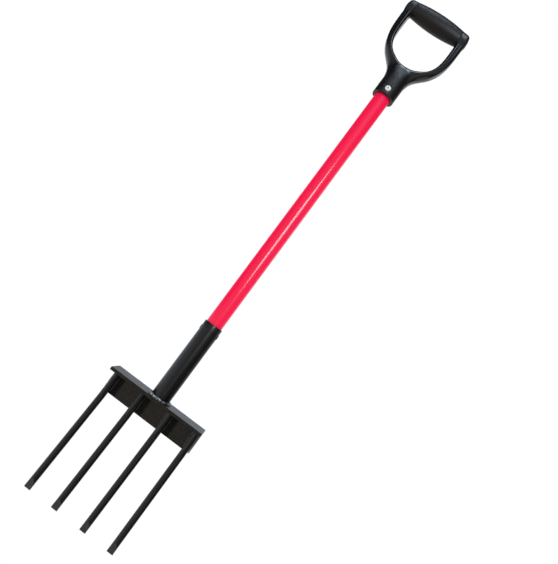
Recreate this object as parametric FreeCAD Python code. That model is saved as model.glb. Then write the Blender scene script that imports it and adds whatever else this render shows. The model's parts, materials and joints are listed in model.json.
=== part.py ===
import FreeCAD, Part
import math
import os

# Four-tine digging fork with a D-grip. Millimetres.
# Origin: centre of the back face of the crossbar. +Z runs up the handle, +X to
# the right, -Y is the front (the side the tines lean towards).
# The tread is the top of the crossbar; heights up the handle are taken from it.

# ---- crossbar: equal-leg angle section, level leg on top, pointing forward ----
BAR_LENGTH = 200.0
BAR_LEG = 50.8
BAR_THICKNESS = 6.35
BAR_ROOT_RADIUS = 3.0
BAR_TOE_RADIUS = 1.6
BAR_EDGE = 0.7                 # small chamfer on the other section corners
BAR_END_CHAMFER = 3.4          # on the front upright edges of the hanging leg

# ---- tines: round bar, straight in front of the hanging leg, then kinked forward ----
TINE_DIAMETER = 12.7
TINE_X = (-90.8, -31.2, 31.2, 90.8)
TINE_KINK_Z = -32.6            # where the centreline turns forward
TINE_KINK_RADIUS = 38.0
TINE_LEAN = 9.0                # degrees forward of vertical below the kink
TINE_TIP_Z = -226.0
TINE_BEVEL_LENGTH = 19.0
TINE_TIP_THICKNESS = 6.0
TINE_END_EDGE = 0.6

# ---- tine weld beads: x from the tine centre, depth forward of the hanging leg ----
BEAD_TOP_Z = 14.5
BEAD_BOTTOM_Z = -21.5
BEAD_STEP = 6.0
BEAD_REACH = 7.8               # mean x of the outer edge
BEAD_CREST_X = 5.4
BEAD_CREST_DEPTH = 2.75        # mean
BEAD_INNER_X = 0.6
BEAD_INNER_DEPTH = 1.6

# ---- steel socket tube and its weld ring ----
HANDLE_OUTER = 32.5
HANDLE_FIT = 0.15              # difference in diameter between mating parts
SOCKET_OUTER = 37.2
SOCKET_INNER = HANDLE_OUTER + HANDLE_FIT
SOCKET_LENGTH = 163.5
SOCKET_RIM_EDGE = 0.6
WELD_RING_LEG = 4.2
WELD_RING_OVERLAP = 1.0        # ring profile inside the tube, cut away afterwards
WELD_RING_LUMPS = 17
WELD_LUMP_OFFSET = 1.2         # mean distance of lump centres outside the tube
WELD_LUMP_RADIUS = 3.5         # mean
WELD_LUMP_RISE = 0.5           # lump centres above the tread

# ---- cross rivet through the socket tube ----
CROSS_RIVET_SHANK = 5.0
CROSS_RIVET_HEAD = 9.6
CROSS_RIVET_HEAD_HEIGHT = 1.0
CROSS_RIVET_FLATTENING = 2.0   # added to the dome radius
CROSS_RIVET_BELOW_RIM = 15.5

# ---- fibreglass handle and its core plugs, heights above the tread ----
HANDLE_INNER = 25.5
HANDLE_START = 6.0
HANDLE_END = 766.0
PLUG_DIAMETER = HANDLE_INNER - HANDLE_FIT
PLUG_CHAMFER = 1.5
LOWER_PLUG_TOP = 190.0
UPPER_PLUG_BOTTOM = 690.0

# ---- moulded D-yoke, heights above the tread ----
YOKE_START = 710.0
YOKE_SOCKET_OUTER = 46.0
YOKE_SOCKET_LENGTH = 45.0
YOKE_BORE = HANDLE_OUTER + HANDLE_FIT
YOKE_BORE_DEPTH = 57.5
YOKE_SOCKET_RIM = 0.8
NECK_START = YOKE_START + 30
ARM_DEPTH = 25.0
ARM_EDGE = 4.5
GRIP_AXIS = 902.5
BLOCK_RADIUS = 15.9
BLOCK_OUTER_X = 70.5
BLOCK_INNER_X = 53.0
BLOCK_EDGE = 7.0
GRIP_BAR_RADIUS = 12.0
GRIP_BAR_OVERLAP = 2.0         # run of the bar into each block
# outer outline of the arms: half width, height
ARM_OUTLINE = [(25.0, 764.0), (31.2, 774.0), (42.0, 786.0), (51.3, 796.0),
               (58.2, 806.3), (63.2, 817.0), (66.5, 828.0), (68.6, 838.5),
               (69.7, 849.0), (70.3, 861.0), (70.5, 874.0)]
# opening of the D: half width, height
OPENING_OUTLINE = [(0.0, 783.0), (10.0, 784.2), (18.5, 787.2), (27.0, 792.0),
                   (35.4, 798.2), (43.2, 806.6), (48.5, 816.0), (51.6, 825.5),
                   (53.3, 835.0), (54.2, 845.0), (54.5, 855.0), (54.5, 866.0)]
# round flare of the neck: radius, height
NECK_FLARE = [(23.0, 754.0), (23.5, 759.5), (25.6, 766.0), (30.0, 774.0),
              (35.5, 781.0), (42.0, 788.5), (49.0, 797.0)]
# flattening of the neck seen from the side: half depth, height
NECK_SIDE_FOOT = (23.6, 736.0)
NECK_SIDE = [(23.6, 754.0), (23.0, 760.0), (20.9, 768.0), (18.2, 776.0),
             (15.6, 785.0), (13.6, 793.0), (12.6, 800.0)]

# ---- grip sleeve ----
SLEEVE_HALF_LENGTH = BLOCK_INNER_X - 0.1
SLEEVE_MIDDLE_RADIUS = 19.8
SLEEVE_END_RADIUS = BLOCK_RADIUS

# ---- blind rivet in the front of the yoke socket ----
BLIND_RIVET_HEIGHT = 722.5     # above the tread
BLIND_RIVET_HEAD = 11.2
BLIND_RIVET_HEAD_HEIGHT = 2.3
BLIND_RIVET_SHANK = 4.8
BLIND_RIVET_HOLE = 2.8
BLIND_RIVET_BULB = 7.0
BULB_LENGTH = 5.0
BULB_GAP = 0.3                 # from the inside wall of the handle to the bulb
BULB_EDGE = 1.6
MANDREL_HEAD_RADIUS = 2.2
MANDREL_HEAD_LENGTH = 1.6
MANDREL_RECESS = 0.5           # below the top of the rivet head
SPOTFACE_DIAMETER = 12.6
SPOTFACE_DEPTH = 0.9

# ---- shared positions ----
V = FreeCAD.Vector
X, Y, Z = V(1, 0, 0), V(0, 1, 0), V(0, 0, 1)
TREAD_Z = BAR_LEG / 2                     # top of the level leg
UNDER_Z = TREAD_Z - BAR_THICKNESS         # underside of the level leg
AXIS_Y = -BAR_LEG / 2                     # handle axis, over the middle of the tread
PLATE_FRONT_Y = -BAR_THICKNESS            # front face of the hanging leg
TINE_R = TINE_DIAMETER / 2
TINE_Y = PLATE_FRONT_Y - TINE_R
SOCKET_R = SOCKET_OUTER / 2
CROSS_RIVET_Z = TREAD_Z + SOCKET_LENGTH - CROSS_RIVET_BELOW_RIM
GRIP_Z = TREAD_Z + GRIP_AXIS
BLIND_RIVET_Z = TREAD_Z + BLIND_RIVET_HEIGHT
RIVET_SEAT_Y = AXIS_Y - YOKE_SOCKET_OUTER / 2 + SPOTFACE_DEPTH
BULB_Y = AXIS_Y - HANDLE_INNER / 2 + BULB_GAP


# ---------------------------------------------------------------- helpers
def up(height):
    """Z for a height above the tread."""
    return TREAD_Z + height


def on_axis(height):
    """Point on the handle axis at a height above the tread."""
    return V(0, AXIS_Y, up(height))


def cylinder(radius, length, base, direction):
    return Part.makeCylinder(radius, length, base, direction)


def polygon_face(points):
    return Part.Face(Part.makePolygon(points + points[:1]))


def lines(*points):
    """Straight edges joining the points in turn."""
    return [Part.makeLine(start, end) for start, end in zip(points, points[1:])]


def arc(start, middle, end):
    return Part.Arc(start, middle, end).toShape()


def spline(points):
    curve = Part.BSplineCurve()
    curve.interpolate(points)
    return curve.toShape()


def circle_edges(shape):
    return [e for e in shape.Edges if isinstance(e.Curve, Part.Circle)]


def cap_radius(rim_radius, height):
    """Sphere radius of a cap with the given rim radius and height."""
    return (rim_radius * rim_radius + height * height) / (2 * height)


def merged(shape):
    """Merge split faces, and unwrap the result if it is a single solid."""
    shape = shape.removeSplitter()
    solids = shape.Solids
    if len(solids) == 1:
        return solids[0]
    return shape


def save(name, shape):
    shape.exportStep("parts/%s.step" % name)


# ---------------------------------------------------------------- crossbar
def crossbar():
    thick, leg, edge = BAR_THICKNESS, BAR_LEG, BAR_EDGE
    root, toe = BAR_ROOT_RADIUS, BAR_TOE_RADIUS
    top, bottom, under = TREAD_Z, -BAR_LEG / 2, UNDER_Z
    # the middle of a quarter arc lies this far from each tangent line
    root_mid = root * (1 - math.sqrt(0.5))
    toe_mid = toe * (1 - math.sqrt(0.5))

    def at(y, z):
        return V(-BAR_LENGTH / 2, y, z)

    section = [
        *lines(at(-edge, top), at(-leg + edge, top), at(-leg, top - edge), at(-leg, under + toe)),
        arc(at(-leg, under + toe), at(-leg + toe_mid, under + toe_mid), at(-leg + toe, under)),
        *lines(at(-leg + toe, under), at(-thick - root, under)),
        arc(at(-thick - root, under), at(-thick - root_mid, under - root_mid),
            at(-thick, under - root)),
        *lines(at(-thick, under - root), at(-thick, bottom + toe)),
        arc(at(-thick, bottom + toe), at(-thick + toe_mid, bottom + toe_mid),
            at(-thick + toe, bottom)),
        *lines(at(-thick + toe, bottom), at(-edge, bottom), at(0, bottom + edge),
               at(0, top - edge), at(-edge, top)),
    ]
    bar = Part.Face(Part.Wire(section)).extrude(X * BAR_LENGTH)
    # end chamfers, cut by wedges that stand 1 mm clear of the bar
    chamfer = BAR_END_CHAMFER
    for side in (-1, 1):
        x = side * BAR_LENGTH / 2
        wedge = polygon_face([V(x + side, -thick - 1, bottom - 1),
                              V(x - side * (chamfer + 1), -thick - 1, bottom - 1),
                              V(x + side, -thick + chamfer + 1, bottom - 1)])
        bar = bar.cut(wedge.extrude(Z * (under - root - bottom + 1)))
    return merged(bar)


# ---------------------------------------------------------------- tines
def tine(x, bar):
    lean = math.radians(TINE_LEAN)
    tangent = TINE_KINK_RADIUS * math.tan(lean / 2)    # from the kink to each bend end
    along = V(0, -math.sin(lean), -math.cos(lean))     # down the leaning part
    front = V(0, -math.cos(lean), math.sin(lean))      # square to it, forward
    kink = V(x, TINE_Y, TINE_KINK_Z)
    bend_start = kink + Z * tangent
    bend_end = kink + along * tangent
    tip = kink + along * ((TINE_KINK_Z - TINE_TIP_Z) / math.cos(lean))
    bend_centre = bend_start - Y * TINE_KINK_RADIUS
    bend_middle = bend_centre + V(0, math.cos(lean / 2), -math.sin(lean / 2)) * TINE_KINK_RADIUS

    straight = cylinder(TINE_R, UNDER_Z - bend_start.z, bend_start, Z)
    path = Part.Wire([arc(bend_start, bend_middle, bend_end)])
    ring = Part.Wire([Part.makeCircle(TINE_R, bend_start, Z)])
    bend = path.makePipeShell([ring], True, True)
    lower = cylinder(TINE_R, (tip - bend_end).Length, bend_end, along)
    rim = [e for e in circle_edges(lower) if (e.CenterOfMass - tip).Length < 0.01]
    lower = lower.makeChamfer(TINE_END_EDGE, rim)
    body = straight.fuse([bend, lower])

    # chisel bevel on the front of the tip; the cutter runs past the bevel all round
    bevel_top = tip - along * TINE_BEVEL_LENGTH + front * (TINE_R + 0.001)
    bevel_tip = tip + front * (TINE_TIP_THICKNESS - TINE_R)
    slope = bevel_tip - bevel_top
    slope.normalize()
    half_width = X * 12
    cutter_top = bevel_top - slope * 6 - half_width
    cutter_tip = bevel_tip + slope * 6 - half_width
    depth = front * 20
    cutter = polygon_face([cutter_top, cutter_tip, cutter_tip + depth, cutter_top + depth])
    body = body.cut(cutter.extrude(half_width * 2))
    return merged(body.cut(bar))


def tine_bead(x, side, rod, bar):
    """Uneven bead between a tine and the hanging leg, laid in short steps."""
    pieces = []
    for i in range(round((BEAD_TOP_Z - BEAD_BOTTOM_Z) / BEAD_STEP)):
        z = BEAD_BOTTOM_Z + i * BEAD_STEP
        reach = BEAD_REACH + 0.35 * math.sin(2.1 * i + x)
        crest = BEAD_CREST_DEPTH + 0.2 * math.cos(1.7 * i + x)
        # x from the tine centre, depth in front of the hanging leg
        profile = [(BEAD_INNER_X, 0), (reach, 0), (reach - 0.5, 0.9),
                   (BEAD_CREST_X, crest), (BEAD_INNER_X, BEAD_INNER_DEPTH)]
        face = polygon_face([V(x + side * out, PLATE_FRONT_Y - depth, z)
                             for out, depth in profile])
        pieces.append(face.extrude(Z * BEAD_STEP))
    bead = pieces[0].fuse(pieces[1:])
    return merged(bead.cut([rod, bar]))


# ---------------------------------------------------------------- steel socket
def cross_rivet_hole():
    return cylinder(CROSS_RIVET_SHANK / 2, 60, V(-30, AXIS_Y, CROSS_RIVET_Z), X)


def socket_tube():
    body = cylinder(SOCKET_R, SOCKET_LENGTH, on_axis(0), Z)
    rim = [e for e in circle_edges(body) if e.CenterOfMass.z > up(SOCKET_LENGTH) - 0.01]
    body = body.makeFillet(SOCKET_RIM_EDGE, rim)
    body = body.cut(cylinder(SOCKET_INNER / 2, SOCKET_LENGTH, on_axis(0), Z))
    return merged(body.cut(cross_rivet_hole()))


def socket_weld():
    """Weld ring round the foot of the socket, with uneven lumps."""
    leg, inside = WELD_RING_LEG, SOCKET_R - WELD_RING_OVERLAP
    # radius, height above the tread
    profile = [(inside, 0), (SOCKET_R + leg, 0), (SOCKET_R + leg * 0.62, leg * 0.55),
               (SOCKET_R, leg), (inside, leg)]
    face = polygon_face([V(radius, AXIS_Y, up(height)) for radius, height in profile])
    ring = face.revolve(V(0, AXIS_Y, 0), Z, 360)
    lumps = []
    for i in range(WELD_RING_LUMPS):
        angle = 2 * math.pi * (i + 0.17 * math.sin(2.3 * i)) / WELD_RING_LUMPS
        radius = SOCKET_R + WELD_LUMP_OFFSET + 0.25 * math.sin(3.1 * i)
        size = WELD_LUMP_RADIUS + 0.45 * math.sin(1.9 * i + 0.6)
        centre = on_axis(WELD_LUMP_RISE) + V(math.cos(angle), math.sin(angle), 0) * radius
        lumps.append(Part.makeSphere(size, centre))
    bead = ring.fuse(lumps)
    below = Part.makeBox(120, 60, 20, V(-60, AXIS_Y - 30, TREAD_Z - 20))
    solid_tube = cylinder(SOCKET_R, 40, on_axis(-10), Z)
    return merged(bead.cut([below, solid_tube]))


def cross_rivet():
    height, head_radius = CROSS_RIVET_HEAD_HEIGHT, CROSS_RIVET_HEAD / 2
    blank_x = 14                   # inner end of the head blank, inside the tube
    dome_radius = cap_radius(head_radius, height) + CROSS_RIVET_FLATTENING

    def at(x):
        return V(x, AXIS_Y, CROSS_RIVET_Z)

    shank = cylinder(CROSS_RIVET_SHANK / 2, SOCKET_OUTER, at(-SOCKET_R), X)
    tube = cylinder(SOCKET_R, 40, at(0) - Z * 20, Z)
    heads = []
    for side in (-1, 1):
        # shallow domed head whose underside is seated on the round of the tube
        ball = Part.makeSphere(dome_radius, at(side * (SOCKET_R + height - dome_radius)))
        disc = cylinder(head_radius, SOCKET_R + height - blank_x, at(side * blank_x), X * side)
        heads.append(ball.common(disc).cut(tube))
    return merged(shank.fuse(heads))


# ---------------------------------------------------------------- handle
def blind_rivet_hole():
    return cylinder(BLIND_RIVET_SHANK / 2, 40, on_axis(BLIND_RIVET_HEIGHT), -Y)


def handle_tube():
    base, length = on_axis(HANDLE_START), HANDLE_END - HANDLE_START
    body = cylinder(HANDLE_OUTER / 2, length, base, Z)
    body = body.cut(cylinder(HANDLE_INNER / 2, length, base, Z))
    body = body.cut(cross_rivet_hole())
    return merged(body.cut(blind_rivet_hole()))


def plug(bottom, top):
    """Core plug with both ends chamfered."""
    body = cylinder(PLUG_DIAMETER / 2, top - bottom, on_axis(bottom), Z)
    return body.makeChamfer(PLUG_CHAMFER, circle_edges(body))


def lower_plug():
    return merged(plug(HANDLE_START, LOWER_PLUG_TOP).cut(cross_rivet_hole()))


def upper_plug():
    """Plug with a front pocket for the bulb of the blind rivet."""
    pocket = cylinder(BLIND_RIVET_BULB / 2 + 0.1, 12, V(0, AXIS_Y - 3.0, BLIND_RIVET_Z), -Y)
    return merged(plug(UPPER_PLUG_BOTTOM, HANDLE_END).cut(pocket))


# ---------------------------------------------------------------- D-yoke
# The yoke is built about y = 0 and moved to the handle axis once fused.
def outline(points, side=1):
    return [V(side * width, 0, up(height)) for width, height in points]


def centred_plate(edges, depth):
    """Plate of the given depth, centred on y = 0."""
    plate = Part.Face(Part.Wire(edges)).extrude(Y * depth)
    plate.translate(Y * (-depth / 2))
    return plate


def yoke_opening():
    points = outline(OPENING_OUTLINE[:0:-1], -1) + outline(OPENING_OUTLINE)
    left, right = points[0], points[-1]
    top_z = GRIP_Z + 1             # past the top of the arms
    sides_and_top = lines(right, V(right.x, 0, top_z), V(left.x, 0, top_z), left)
    return centred_plate([spline(points), *sides_and_top], 80)


def yoke_arms(opening):
    right, left = outline(ARM_OUTLINE), outline(ARM_OUTLINE, -1)
    top_right, top_left = V(BLOCK_OUTER_X, 0, GRIP_Z), V(-BLOCK_OUTER_X, 0, GRIP_Z)
    arms = centred_plate([*lines(left[0], right[0]), spline(right),
                          *lines(right[-1], top_right, top_left, left[-1]),
                          spline(left)], ARM_DEPTH).cut(opening)
    # round the front and back edges, leaving out the level ones
    rounded = []
    for e in arms.Edges:
        on_face = (abs(abs(e.CenterOfMass.y) - ARM_DEPTH / 2) < 1e-6
                   and e.BoundBox.YLength < 1e-3)
        if on_face and e.BoundBox.ZLength > 2 and e.CenterOfMass.z > right[0].z + 1:
            rounded.append(e)
    return arms.makeFillet(ARM_EDGE, rounded)


def yoke_neck(opening):
    """Neck, round where it meets the socket and flattening up into the arms."""
    flare = outline(NECK_FLARE)
    bottom = V(0, 0, up(NECK_START))
    bottom_rim = V(YOKE_SOCKET_OUTER / 2, 0, up(NECK_START))
    top = V(0, 0, flare[-1].z)
    profile = [*lines(bottom, bottom_rim, flare[0]), spline(flare),
               *lines(flare[-1], top, bottom)]
    neck = Part.Face(Part.Wire(profile)).revolve(V(0, 0, 0), Z, 360)

    half_width = 70

    def side_view(points, side):
        return [V(-half_width, side * depth, up(height)) for depth, height in points]

    back, front = side_view(NECK_SIDE, 1), side_view(NECK_SIDE[::-1], -1)
    foot_back, = side_view([NECK_SIDE_FOOT], 1)
    foot_front, = side_view([NECK_SIDE_FOOT], -1)
    side_wire = Part.Wire([spline(back), *lines(back[-1], front[0]), spline(front),
                           *lines(front[-1], foot_front, foot_back, back[0])])
    slab = Part.Face(side_wire).extrude(X * (2 * half_width))
    return neck.common(slab).cut(opening)


def yoke_socket():
    socket = cylinder(YOKE_SOCKET_OUTER / 2, YOKE_SOCKET_LENGTH, V(0, 0, up(YOKE_START)), Z)
    rim = [e for e in circle_edges(socket) if e.CenterOfMass.z < up(YOKE_START) + 0.01]
    return socket.makeFillet(YOKE_SOCKET_RIM, rim)


def yoke_block(side):
    """Round block at one end of the grip, rounded on its outer face."""
    block = cylinder(BLOCK_RADIUS, BLOCK_OUTER_X - BLOCK_INNER_X,
                     V(side * BLOCK_INNER_X, 0, GRIP_Z), X * side)
    rim = [e for e in circle_edges(block) if abs(e.CenterOfMass.x) > BLOCK_OUTER_X - 0.01]
    return block.makeFillet(BLOCK_EDGE, rim)


def grip_yoke():
    opening = yoke_opening()
    arms = yoke_arms(opening)
    half_bar = BLOCK_INNER_X + GRIP_BAR_OVERLAP
    grip_bar = cylinder(GRIP_BAR_RADIUS, 2 * half_bar, V(-half_bar, 0, GRIP_Z), X)
    body = arms.fuse([yoke_neck(opening), yoke_socket(), yoke_block(-1), yoke_block(1), grip_bar])
    body.translate(Y * AXIS_Y)
    bore = cylinder(YOKE_BORE / 2, YOKE_BORE_DEPTH, on_axis(YOKE_START), Z)
    spotface = cylinder(SPOTFACE_DIAMETER / 2, 10, V(0, RIVET_SEAT_Y, BLIND_RIVET_Z), -Y)
    return merged(body.cut([bore, blind_rivet_hole(), spotface]))


def grip_sleeve():
    """Barrel-shaped sleeve round the grip bar."""
    def at(x, radius):
        return V(x, AXIS_Y, GRIP_Z + radius)

    end, rim, bore = SLEEVE_HALF_LENGTH, SLEEVE_END_RADIUS, GRIP_BAR_RADIUS
    profile = [arc(at(-end, rim), at(0, SLEEVE_MIDDLE_RADIUS), at(end, rim)),
               *lines(at(end, rim), at(end, bore), at(-end, bore), at(-end, rim))]
    return merged(Part.Face(Part.Wire(profile)).revolve(at(0, 0), X, 360))


# ---------------------------------------------------------------- blind rivet
def on_rivet(y):
    return V(0, y, BLIND_RIVET_Z)


def blind_rivet_body():
    seat, height = RIVET_SEAT_Y, BLIND_RIVET_HEAD_HEIGHT
    head_radius = BLIND_RIVET_HEAD / 2
    ball_radius = cap_radius(head_radius, height)
    ball = Part.makeSphere(ball_radius, on_rivet(seat - height + ball_radius))
    head = ball.common(cylinder(head_radius + 1, height + 1, on_rivet(seat), -Y))
    # the shank runs 0.2 mm into the bulb
    shank = cylinder(BLIND_RIVET_SHANK / 2, BULB_Y + 0.2 - seat, on_rivet(seat), Y)
    bulb = cylinder(BLIND_RIVET_BULB / 2, BULB_LENGTH, on_rivet(BULB_Y), Y)
    bulb = bulb.makeFillet(BULB_EDGE, circle_edges(bulb))
    body = head.fuse([shank, bulb])
    return merged(body.cut(cylinder(BLIND_RIVET_HOLE / 2, 40, on_rivet(seat - 10), Y)))


def blind_rivet_mandrel():
    front = RIVET_SEAT_Y - BLIND_RIVET_HEAD_HEIGHT + MANDREL_RECESS
    back = BULB_Y + BULB_LENGTH
    stem = cylinder(BLIND_RIVET_HOLE / 2, back - front, on_rivet(front), Y)
    head = cylinder(MANDREL_HEAD_RADIUS, MANDREL_HEAD_LENGTH, on_rivet(back), Y)
    return merged(stem.fuse(head))


# ---------------------------------------------------------------- build
os.makedirs("parts", exist_ok=True)
bar = crossbar()
save("crossbar_angle", bar)
for i, x in enumerate(TINE_X, 1):
    rod = tine(x, bar)
    save("tine_%d" % i, rod)
    save("tine_%d_weld_left" % i, tine_bead(x, -1, rod, bar))
    save("tine_%d_weld_right" % i, tine_bead(x, 1, rod, bar))
save("socket_tube", socket_tube())
save("socket_weld_ring", socket_weld())
save("socket_cross_rivet", cross_rivet())
save("handle_tube", handle_tube())
save("handle_lower_plug", lower_plug())
save("handle_upper_plug", upper_plug())
save("grip_yoke", grip_yoke())
save("grip_sleeve", grip_sleeve())
save("grip_rivet_body", blind_rivet_body())
save("grip_rivet_mandrel", blind_rivet_mandrel())
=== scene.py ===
# A four-tined digging fork, standing upright with its tines down.
# +Z is up along the handle, X runs across the tines and -Y is the front, the viewer's side.
# From the bottom: tines, angle-section crossbar, socket tube, red handle, D-shaped yoke and grip.
import json
import math

import bmesh
import bpy
import numpy as np
from mathutils import Matrix, Vector

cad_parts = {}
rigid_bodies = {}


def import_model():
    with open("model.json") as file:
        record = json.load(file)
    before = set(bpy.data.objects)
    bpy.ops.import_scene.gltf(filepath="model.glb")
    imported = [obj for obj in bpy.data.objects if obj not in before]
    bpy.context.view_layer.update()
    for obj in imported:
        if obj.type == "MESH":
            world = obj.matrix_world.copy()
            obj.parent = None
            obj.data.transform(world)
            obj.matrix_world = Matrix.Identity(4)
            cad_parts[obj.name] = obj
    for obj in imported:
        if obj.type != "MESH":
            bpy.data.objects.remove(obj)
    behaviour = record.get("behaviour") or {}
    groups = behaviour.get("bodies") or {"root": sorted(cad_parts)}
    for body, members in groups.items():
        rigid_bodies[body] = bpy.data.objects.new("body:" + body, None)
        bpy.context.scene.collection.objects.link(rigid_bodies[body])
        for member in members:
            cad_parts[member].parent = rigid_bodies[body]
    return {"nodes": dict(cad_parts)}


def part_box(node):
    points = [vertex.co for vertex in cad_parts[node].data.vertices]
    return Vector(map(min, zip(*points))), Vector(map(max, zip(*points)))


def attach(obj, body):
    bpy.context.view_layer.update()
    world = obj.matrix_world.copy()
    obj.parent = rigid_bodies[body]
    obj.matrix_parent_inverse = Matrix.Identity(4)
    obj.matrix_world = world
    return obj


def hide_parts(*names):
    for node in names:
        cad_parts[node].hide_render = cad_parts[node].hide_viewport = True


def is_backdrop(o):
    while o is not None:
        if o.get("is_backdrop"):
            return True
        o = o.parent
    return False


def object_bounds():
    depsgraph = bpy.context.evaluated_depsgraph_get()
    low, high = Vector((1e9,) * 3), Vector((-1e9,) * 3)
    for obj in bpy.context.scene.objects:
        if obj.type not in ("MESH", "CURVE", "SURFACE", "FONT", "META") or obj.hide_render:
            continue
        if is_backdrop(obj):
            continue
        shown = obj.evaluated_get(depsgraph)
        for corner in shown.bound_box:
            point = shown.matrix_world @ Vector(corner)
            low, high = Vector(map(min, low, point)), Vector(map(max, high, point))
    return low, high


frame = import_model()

SIZES = {"loaded": [list(map(float, c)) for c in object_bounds()]}
MM = 0.001
scene = bpy.context.scene

BAR_MIN, BAR_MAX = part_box("crossbar_angle")
GRIP_MIN, GRIP_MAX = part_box("grip_sleeve")
# height of the crest where the two arms of the yoke part
YOKE_FORK = BAR_MAX.z + 778.8 * MM


# ------------------------------------------------------------------ shader graphs
NOISE_RANGE = (0.3, 0.7)  # holds most values of a noise texture


class Graph:
    """Short ways to add nodes to an emptied node tree."""

    def __init__(self, tree):
        self.tree = tree
        tree.nodes.clear()

    def new(self, kind, **settings):
        node = self.tree.nodes.new(kind)
        for key, value in settings.items():
            setattr(node, key, value)
        return node

    def plug(self, value, socket):
        """Give a socket a number or an RGB tuple, or link another socket to it."""
        if isinstance(value, tuple):
            socket.default_value = (*value, 1.0)
        elif isinstance(value, (int, float)):
            socket.default_value = value
        else:
            self.tree.links.new(value, socket)

    def math(self, operation, *values):
        node = self.new("ShaderNodeMath", operation=operation)
        for value, socket in zip(values, node.inputs):
            self.plug(value, socket)
        return node.outputs[0]

    def mix(self, factor, first, second):
        node = self.new("ShaderNodeMix", data_type="RGBA")
        self.plug(factor, node.inputs[0])
        self.plug(first, node.inputs[6])
        self.plug(second, node.inputs[7])
        return node.outputs[2]

    def mix_shaders(self, factor, first, second):
        node = self.new("ShaderNodeMixShader")
        for value, socket in zip((factor, first, second), node.inputs):
            self.plug(value, socket)
        return node.outputs[0]

    def span(self, source, out, over=NOISE_RANGE, smooth=False):
        """Map the range `over` of the source to the range `out`."""
        node = self.new("ShaderNodeMapRange")
        if smooth:
            node.interpolation_type = "SMOOTHSTEP"
        for key, value in zip(("From Min", "From Max", "To Min", "To Max"), (*over, *out)):
            node.inputs[key].default_value = value
        self.plug(source, node.inputs["Value"])
        return node.outputs[0]

    def ramp(self, source, stops):
        """stops: (position, RGB) pairs."""
        node = self.new("ShaderNodeValToRGB")
        elements = node.color_ramp.elements
        while len(elements) < len(stops):
            elements.new(0.5)
        for element, (position, colour) in zip(elements, stops):
            element.position = position
            element.color = (*colour, 1.0)
        self.plug(source, node.inputs[0])
        return node.outputs[0]

    def blend(self, source, dark, light, over=NOISE_RANGE):
        return self.ramp(source, [(over[0], dark), (over[1], light)])


class Textured(Graph):
    """A material with textures in object coordinates."""

    def __init__(self, name):
        self.mat = bpy.data.materials.new(name)
        self.mat.use_nodes = True
        super().__init__(self.mat.node_tree)
        self.out = self.new("ShaderNodeOutputMaterial")
        self.coord = self.new("ShaderNodeTexCoord").outputs["Object"]

    def noise(self, scale, detail=3.0, rough=0.55, stretch=None):
        source = self.coord
        if stretch:
            mapping = self.new("ShaderNodeMapping")
            mapping.inputs["Scale"].default_value = stretch
            self.plug(source, mapping.inputs["Vector"])
            source = mapping.outputs[0]
        node = self.new("ShaderNodeTexNoise")
        node.inputs["Scale"].default_value = scale
        node.inputs["Detail"].default_value = detail
        node.inputs["Roughness"].default_value = rough
        self.plug(source, node.inputs["Vector"])
        return node.outputs["Fac"]

    def voronoi(self, scale):
        node = self.new("ShaderNodeTexVoronoi")
        node.inputs["Scale"].default_value = scale
        self.plug(self.coord, node.inputs["Vector"])
        return node.outputs["Distance"]

    def axes(self):
        """The x, y and z of the point, and its distance |x| from the middle."""
        node = self.new("ShaderNodeSeparateXYZ")
        self.plug(self.coord, node.inputs[0])
        x, y, z = node.outputs
        return y, z, self.math("ABSOLUTE", x)


class Paint(Textured):
    """A Principled material."""

    def __init__(self, name):
        super().__init__(name)
        self.bsdf = self.new("ShaderNodeBsdfPrincipled")
        self.plug(self.bsdf.outputs[0], self.out.inputs[0])
        self.normal = None

    def feed(self, **sources):
        """Set or link the shader's inputs; an underscore stands for a space."""
        for key, value in sources.items():
            self.plug(value, self.bsdf.inputs[key.replace("_", " ")])

    def bump(self, height, depth, strength):
        """Stack one more bump, depth in metres, on those before it."""
        node = self.new("ShaderNodeBump")
        node.inputs["Distance"].default_value = depth
        node.inputs["Strength"].default_value = strength
        self.plug(height, node.inputs["Height"])
        if self.normal:
            self.plug(self.normal, node.inputs["Normal"])
        self.normal = node.outputs[0]
        self.feed(Normal=self.normal)


# ------------------------------------------------------------------ materials
def painted_steel(name, dark, light, rough, grain_scale=420, grain_depth=0.00012,
                  grain_strength=0.3, stretch=None, spec=0.5, wave=0.12):
    """Mottled paint with a broad wave and a fine grain; wave is the wave's strength."""
    p = Paint(name)
    mottled = p.noise(scale=95.0, detail=4.0, rough=0.6, stretch=stretch)
    p.feed(Base_Color=p.blend(mottled, dark, light))
    p.feed(Roughness=p.span(p.noise(scale=160.0, rough=0.5, stretch=stretch), out=rough))
    p.feed(Specular_IOR_Level=spec)
    waves = p.noise(scale=60.0, detail=2.0, rough=0.5, stretch=stretch)
    grain = p.noise(scale=grain_scale, rough=0.6, stretch=stretch)
    p.bump(waves, depth=0.0005, strength=wave)
    p.bump(grain, depth=grain_depth, strength=grain_strength)
    return p.mat


def weld_paint():
    p = Paint("weld_paint")
    # painted glints: pale bluish spots, also made metallic and glossier, stand in for the glints
    # off the weld's lumps
    painted_glint_spots = p.noise(scale=330.0, rough=0.6)
    p.feed(Base_Color=p.ramp(painted_glint_spots, [(0.42, (0.008, 0.009, 0.010)), (0.58, (0.03, 0.036, 0.04)),
                                     (0.66, (0.16, 0.2, 0.22))]))
    p.feed(Roughness=p.span(painted_glint_spots, out=(0.42, 0.2), over=(0.4, 0.65)))
    p.feed(Metallic=p.span(painted_glint_spots, out=(0.0, 0.75), over=(0.56, 0.68)))
    p.feed(Specular_IOR_Level=0.7, Coat_Weight=0.35, Coat_Roughness=0.12)
    lumps = p.noise(scale=240.0)
    spatter = p.voronoi(scale=700.0)
    p.bump(lumps, depth=0.0012, strength=0.55)
    p.bump(spatter, depth=0.0003, strength=0.4)
    return p.mat


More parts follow.
